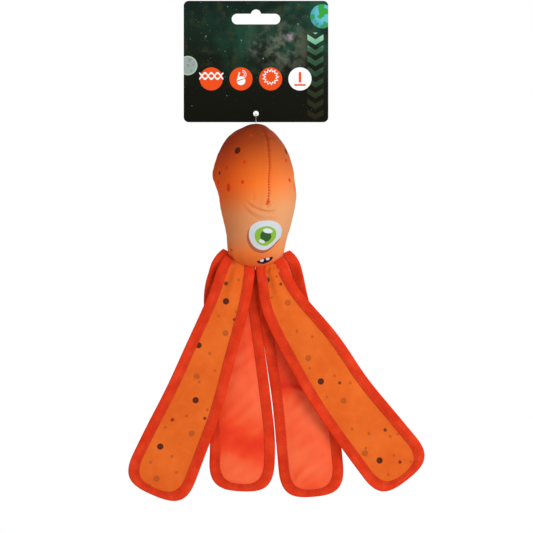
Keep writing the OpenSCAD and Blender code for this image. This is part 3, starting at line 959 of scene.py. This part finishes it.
def makePanel(tail, half, layer, look):
    # a face or reverse panel: a thin closed sheet whose edges lie between the two legs of the tape
    spotted = layer == "face"
    v, w, vv, ww = panelGrid(tail, half, tailShape["panelInset"])

    def place(a, b):
        return onTail(tail, a, b, panelHeight(tail, a, b, spotted))

    outside = -1 if tail.startswith("front") == spotted else 1
    normals = surfaceNormals(place, vv, ww)
    normals = (normals * np.sign(normals[..., 1].mean()) * outside).reshape(-1, 3)
    points = place(vv, ww)
    outer = points.reshape(-1, 3)
    inner = outer - normals * tailShape["panelThickness"]
    rows, columns = vv.shape
    face = gridFaces(rows, columns)
    index = np.arange(rows * columns).reshape(rows, columns)
    edge = np.concatenate([index[0], index[1:, -1], index[-1, -2::-1], index[-2:0:-1, 0]])
    rim = np.stack([edge, edge + index.size, np.roll(edge, -1) + index.size, np.roll(edge, -1)], -1)
    # the reverse panel carries painted light and shade from its creases
    fields = dotFields(tail, vv, ww, points) if spotted else {"paintedLightShade": paintedCreaseLight(tail, vv, ww)}
    cloth = np.tile(np.stack([ww, vv], -1).reshape(-1, 2), (2, 1))
    piece = makePiece(f"{tail}_{half}_{layer}Panel", np.concatenate([outer, inner]),
                      np.concatenate([face, face[:, ::-1] + index.size, rim]), cloth, look,
                      {key: np.tile(field.ravel(), 2) for key, field in fields.items()},
                      turn=not facing(outer, face, normals), normals=np.concatenate([normals, -normals]))
    cut = (float(2 * w.max()) * mm, float(v[-1] - v[0]) * mm)
    return piece, cut, float(np.sum((w[1:] + w[:-1]) * np.diff(v))) * mm * mm


def tapeProfile():
    # inset and height off the middle surface round the tape's U: front leg, folded edge, back leg, inside;
    # the front leg dips at its two rows of stitches
    out, width = tailShape["tapeOut"], tailShape["tapeWidth"]
    front = [(width, 0.62), (width - 0.1, out - 0.22), (width - 0.5, out - 0.05), (9.2, out - 0.22),
             (8.3, out + 0.02), (7.4, out - 0.22), (6.3, out + 0.08), (4.5, out + 0.15), (2.6, out + 0.1),
             (1.3, out - 0.05), (0.55, out - 0.4), (0.12, 0.45), (0, 0)]
    inside = [(1.0, 0.0), (1.3, 0.35), (2.2, 0.5), (5.0, 0.52), (width - 0.4, 0.52)]
    back = [(inset, -high) for inset, high in front[-2::-1]]
    backInside = [(inset, -high) for inset, high in inside[::-1]]
    return np.array(front + back + backInside + inside[1:], float)


def makeBinding(tail, half, look):
    # the profile carried along the outline, each of its points on its own inset line
    profile = tapeProfile()
    inset, height = profile[:, 0], profile[:, 1]
    around = arcLength(profile)
    points, faces, flat, caps, normals, start = [], [], [], [], [], 0
    edges = [edgeLine(tail, half, at) for at in inset]
    for k in range(len(edges[0])):
        v, w = (np.stack([lines[k][part] for lines in edges], 1) for part in (0, 1))
        run = edges[0][k][2][:, None]
        q = w / tailWidth(tail, v)
        tip = smooth(run, tailLength(tail) - 40, tailLength(tail) - 12)
        ease = 0.10 * np.sin(run / 1.3 + 2 * q) * tip + 0.08 * np.sin(run / 3.3 + 2.1 * q + np.sin(run / 17))
        place = onTail(tail, v, w, height * (1 + ease * (np.abs(height) > 0.6)))
        normal = sweptNormals(place).reshape(-1, 3)
        face = gridFaces(*v.shape, wrap=True)
        index = np.arange(v.size).reshape(v.shape)
        ends = [index[0, ::-1], index[-1]]
        if not facing(place.reshape(-1, 3), face, normal):
            face, ends = face[:, ::-1], [end[::-1] for end in ends]
        points.append(place.reshape(-1, 3))
        normals.append(normal)
        faces.append(face + start)
        caps += [(end + start).tolist() for end in ends]
        flat.append(np.stack(np.broadcast_arrays(around, run), -1).reshape(-1, 2))
        start += v.size
    return makePiece(f"{tail}_{half}_bindingTape", np.concatenate(points), np.concatenate(faces),
                     np.concatenate(flat), look, caps=caps, normals=np.concatenate(normals))


def makeTapeStitches(tail, half, look):
    # two rows on each leg of the tape
    rows, out = [], tailShape["tapeOut"]
    for inset in tailShape["stitchInsets"]:
        for v, w, _ in edgeLine(tail, half, inset):
            for leg in (1, -1):
                line = onTail(tail, v, w, leg * (out - 0.05))
                rows.append((line, onTail(tail, v, w, leg * (out + 0.95)) - line))
    return makeStitches(f"{tail}_{half}_tapeStitches", rows, tailShape["thread"], look)


def makeFilm(tail, half, look):
    # one sheet between the panels, faintly crumpled
    _, _, vv, ww = panelGrid(tail, half, tailShape["filmInset"])
    points = onTail(tail, vv, ww, 0.1 * np.sin(vv / 5) * np.sin(ww / 4))
    piece = makePiece(f"{tail}_{half}_crackleFilm", points.reshape(-1, 3), gridFaces(*vv.shape),
                      np.stack([ww, vv], -1).reshape(-1, 2), look)
    return thicken(piece, tailShape["filmThickness"], 0.0)


def makeLength(tail, half):
    # every piece of one length of a tail: the upper length, which leaves the chin, and the lower length below
    # it
    name = f"{tail}_{half}"
    front, cut, area = makePanel(tail, half, "face", tailPrint)
    rear, cutRear, areaRear = makePanel(tail, half, "reverse", tailSatin)
    tape = makeBinding(tail, half, bindingTape)
    thread = makeTapeStitches(tail, half, orangeThread)
    film = makeFilm(tail, half, crackleFilm)
    for piece, node, slot in ((front, "face", "tail_print"), (rear, "reverse", "tail_plain"),
                              (tape, "binding", "binding_tape"), (thread, "stitching", "orange_thread"),
                              (film, "film", "crackle_film")):
        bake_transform(piece)
        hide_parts(f"{name}_{node}")
    if half == "upper":
        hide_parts(f"{tail}_sewn_end")


for tail in tails:
    for half in ("upper", "lower"):
        makeLength(tail, half)
print("tails made")


card = {
    # colours up the card, by share of its height
    "sky": [(0.0, (0.0035, 0.0035, 0.0010)), (0.30, (0.0045, 0.0050, 0.0022)),
            (0.55, (0.0055, 0.0095, 0.0048)), (0.80, (0.0060, 0.0190, 0.0120)),
            (1.0, (0.0040, 0.0130, 0.0095))],
    "green": (0.016, 0.090, 0.052), "haze": (0.15, 0.18, 0.125), "rose": (0.40, 0.30, 0.36),
    "dusk": (0.24, 0.19, 0.17), "olive": (0.055, 0.060, 0.022),
    # scale, size and colour of the two kinds of star
    "stars": ((330.0, 0.20, (0.10, 0.19, 0.14)), (150.0, 0.13, (0.26, 0.40, 0.32))),
    "chevronX": 58.8, "chevronTop": -23.0, "chevronPitch": 10.6, "chevronHalf": 7.9, "chevronSlope": 0.62,
    "chevronStart": 96.4,   # added to the height, so that it's positive all the way up
    "chevrons": [(0.0, (0.30, 0.60, 0.42)), (0.10, (0.20, 0.48, 0.30)), (0.16, (0.045, 0.130, 0.072)),
                 (0.45, (0.022, 0.055, 0.024)), (0.75, (0.020, 0.021, 0.008)), (1.0, (0.014, 0.012, 0.003))],
    "planet": (65.6, -1.8, 11.9), "sea": (0.115, 0.47, 0.60), "land": (0.035, 0.33, 0.045),
    "planetShade": (0.030, 0.22, 0.17),
    "moon": (-67.5, -50.5, 9.5), "moonFace": (0.30, 0.36, 0.33), "moonRim": (0.42, 0.56, 0.44),
    # place from the moon's middle and radius of each crater
    "craters": ((0.5, 0.2, 1.5), (2.0, 5.6, 1.9), (5.4, 0.8, 0.9), (3.6, -5.2, 1.0), (-2.6, -3.0, 0.9)),
    "craterColour": (0.16, 0.23, 0.19),
    "badges": (-44.2, -14.8, 14.5, 43.5), "badgeHeight": -63.7, "badgeRadius": 11.4,
    "white": (0.93, 0.93, 0.93), "orange": (0.80, 0.075, 0.010),
    "board": (0.62, 0.61, 0.57),
}


def makeCardLook():
    # A night sky over the board with a planet, a moon, a column of chevrons and four badges. Everything is
    # worked out from x and z in mm; each mask is 1 inside a shape and 0 outside it.
    look, tree, shader = material("printedCard", 0.5, 0.06)
    space = objectSpace(tree)
    parts = axes(tree, space)
    x, y, z = (times(tree, parts[axis], 1000.0) for axis in ("X", "Y", "Z"))
    wisps = noise(tree, space, 75, 5, 0.6)

    def both(*masks):
        joined = masks[0]
        for mask in masks[1:]:
            joined = times(tree, joined, mask)
        return joined

    def over(paint, colour, *masks):
        return mixed(tree, both(*masks), paint, colour)

    def within(distance, limit, soft=0.22):
        return ranged(tree, distance, limit - soft, limit + soft, 1.0, 0.0)

    def near(value, middle, limit, soft=0.22):
        return within(absolute(tree, minus(tree, value, middle)), limit, soft)

    def far(cx, cz):
        squares = (calc(tree, "POWER", minus(tree, axis, at), 2.0) for axis, at in ((x, cx), (z, cz)))
        return calc(tree, "SQRT", plus(tree, *squares))

    def disc(cx, cz, radius, soft=0.22):
        return within(far(cx, cz), radius, soft)

    def glow(cx, cz, radius):
        return ranged(tree, far(cx, cz), 0.0, radius, 1.0, 0.0)

    def bar(cx, cz, halfWide, halfHigh, turn=0.0):
        c, s = math.cos(math.radians(turn)), math.sin(math.radians(turn))
        dx, dz = minus(tree, x, cx), minus(tree, z, cz)
        u = plus(tree, times(tree, dx, c), times(tree, dz, s))
        v = minus(tree, times(tree, dz, c), times(tree, dx, s))
        return both(near(u, 0.0, halfWide), near(v, 0.0, halfHigh))

    def paintSky():
        # a dark ground, green above, with clouds of haze where the noise is high, and two sizes of star
        sky = ramp(tree, ranged(tree, z, -106.0, 14.0, smooth=False), card["sky"])
        cloud = noise(tree, space, 26, 6, 0.62)
        sky = over(sky, card["green"], ranged(tree, cloud, 0.42, 0.72), ranged(tree, z, -75.0, -25.0),
                   ranged(tree, x, -70.0, 10.0, 0.12, 1.0), 0.7)
        sky = over(sky, card["haze"], glow(26, -30, 40), ranged(tree, wisps, 0.38, 0.66), 0.85)
        sky = over(sky, card["rose"], glow(33, -22, 7), ranged(tree, wisps, 0.30, 0.6))
        sky = over(sky, card["dusk"], glow(-2, -34, 10), ranged(tree, wisps, 0.4, 0.62), 0.6)
        sky = over(sky, card["olive"], ranged(tree, z, -80.0, -45.0), ranged(tree, wisps, 0.5, 0.7), 0.35)
        for scale, wide, colour in card["stars"]:
            cells = add(tree, "ShaderNodeTexVoronoi", {"Vector": space, "Scale": scale})
            some = ranged(tree, noise(tree, space, 0.7 * scale, 2), 0.50, 0.64)
            star = ranged(tree, cells.outputs["Distance"], 0.04, wide, 1.0, 0.0)
            sky = over(sky, colour, star, some, ranged(tree, z, -112.0, -30.0, 0.12, 1.0))
        return sky

    def paintChevrons(paint):
        # the height folded into one pitch, less the distance from the column's middle, gives each V
        beside = absolute(tree, minus(tree, x, card["chevronX"]))
        below = minus(tree, card["chevronTop"], z)
        raised = plus(tree, below, times(tree, beside, card["chevronSlope"]))
        slanted = plus(tree, raised, card["chevronStart"])
        folded = calc(tree, "MODULO", slanted, card["chevronPitch"])
        column = both(within(beside, card["chevronHalf"]), near(folded, 5.3, 2.7),
                      ranged(tree, below, -5.5, -4.5), ranged(tree, below, 84.0, 88.0, 1.0, 0.0))
        fading = ramp(tree, ranged(tree, below, -4.0, 86.0, smooth=False), card["chevrons"])
        return over(paint, fading, column, ranged(tree, wisps, 0.3, 0.6, 0.7, 1.0))

    def paintPlanet(paint):
        cx, cz, radius = card["planet"]
        shape = ranged(tree, noise(tree, space, 130, 2, 0.4), 0.50, 0.53)
        ball = mixed(tree, shape, card["sea"], card["land"])
        ball = over(ball, card["planetShade"], ranged(tree, far(cx + 3, cz + 3), 6.0, 15.5), 0.6)
        return over(paint, ball, disc(cx, cz, radius))

    def paintMoon(paint):
        cx, cz, radius = card["moon"]
        rim = ranged(tree, far(cx, cz), radius - 1.6, radius - 0.4)
        ball = mixed(tree, rim, card["moonFace"], card["moonRim"])
        for a, b, r in card["craters"]:
            ball = over(ball, card["craterColour"], disc(cx + a, cz + b, r, 0.4), 0.55)
        return over(paint, ball, disc(cx, cz, radius))

    def paintBadges(paint):
        white, orange, height = card["white"], card["orange"], card["badgeHeight"]
        first, second, third, fourth = card["badges"]
        for middle in card["badges"]:
            colour = white if middle == fourth else orange
            paint = over(paint, colour, disc(middle, height, card["badgeRadius"]))
        # first badge: two waves across each other, for a double row of stitches
        fromFirst, tall = minus(tree, x, first), minus(tree, z, height + 2.9)
        strand = times(tree, calc(tree, "COSINE", times(tree, fromFirst, 2 * math.pi / 12.4)), 2.9)
        for sign in (1.0, -1.0):
            line = near(tall, times(tree, strand, sign), 0.95)
            paint = over(paint, white, line, near(fromFirst, 0.0, 11.8))
        # second badge: a ball with its seam and its stem, and two arcs for its sound
        paint = over(paint, white, disc(second, height - 1.8, 4.3))
        paint = over(paint, orange, bar(second - 0.4, height - 0.9, 4.6, 0.5, 20))
        paint = over(paint, white, bar(second - 2.2, height + 4.0, 0.6, 2.6, -16))
        for radius in (2.6, 4.2):
            ring = near(far(second + 0.8, height + 4.4), radius, 0.55 / 2)
            paint = over(paint, white, ring, ranged(tree, minus(tree, x, second + 1.2), -0.2, 0.4))
        # third badge: the outline of a burst, whose radius is a wave folded into points
        angle = calc(tree, "ARCTAN2", minus(tree, z, height + 2.0), minus(tree, x, third))
        points = absolute(tree, calc(tree, "SINE", times(tree, angle, 6.5)))
        burst = plus(tree, times(tree, points, -2.6), 9.0)
        paint = over(paint, white, near(times(tree, far(third, height + 2.0), 1.15), burst, 0.8))
        # fourth badge: a plain upright mark
        paint = over(paint, orange, bar(fourth, height + 1.6, 1.3, 5.2))
        return over(paint, orange, bar(fourth, height - 6.0, 5.6, 0.9))

    sky = paintSky()
    paint = paintBadges(paintMoon(paintPlanet(paintChevrons(sky))))
    # only the front carries the artwork: the back is plain sky, and the cut edge shows the pale board
    paint = over(paint, sky, ranged(tree, y, 0.0, 0.1))
    paint = over(paint, card["board"], near(y, 0.0, 0.28, 0.01))
    feed(tree, shader.inputs["Base Color"], paint)
    bumped(tree, shader, noise(tree, space, 900, 2), 0.03, 0.4)
    return look


cardLook = makeCardLook()
for node, look in (("header_card", cardLook), ("tag_loop", nylon), ("tag_loop_lock", nylon),
                   ("squeaker_cup", squeakerPlastic), ("squeaker_dome", squeakerPlastic),
                   ("squeaker_whistle", whistlePlastic), ("squeaker_reed", whistlePlastic)):
    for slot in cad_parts[node].material_slots:
        slot.link = "OBJECT"
        slot.material = look
print("card, loop and squeaker painted")
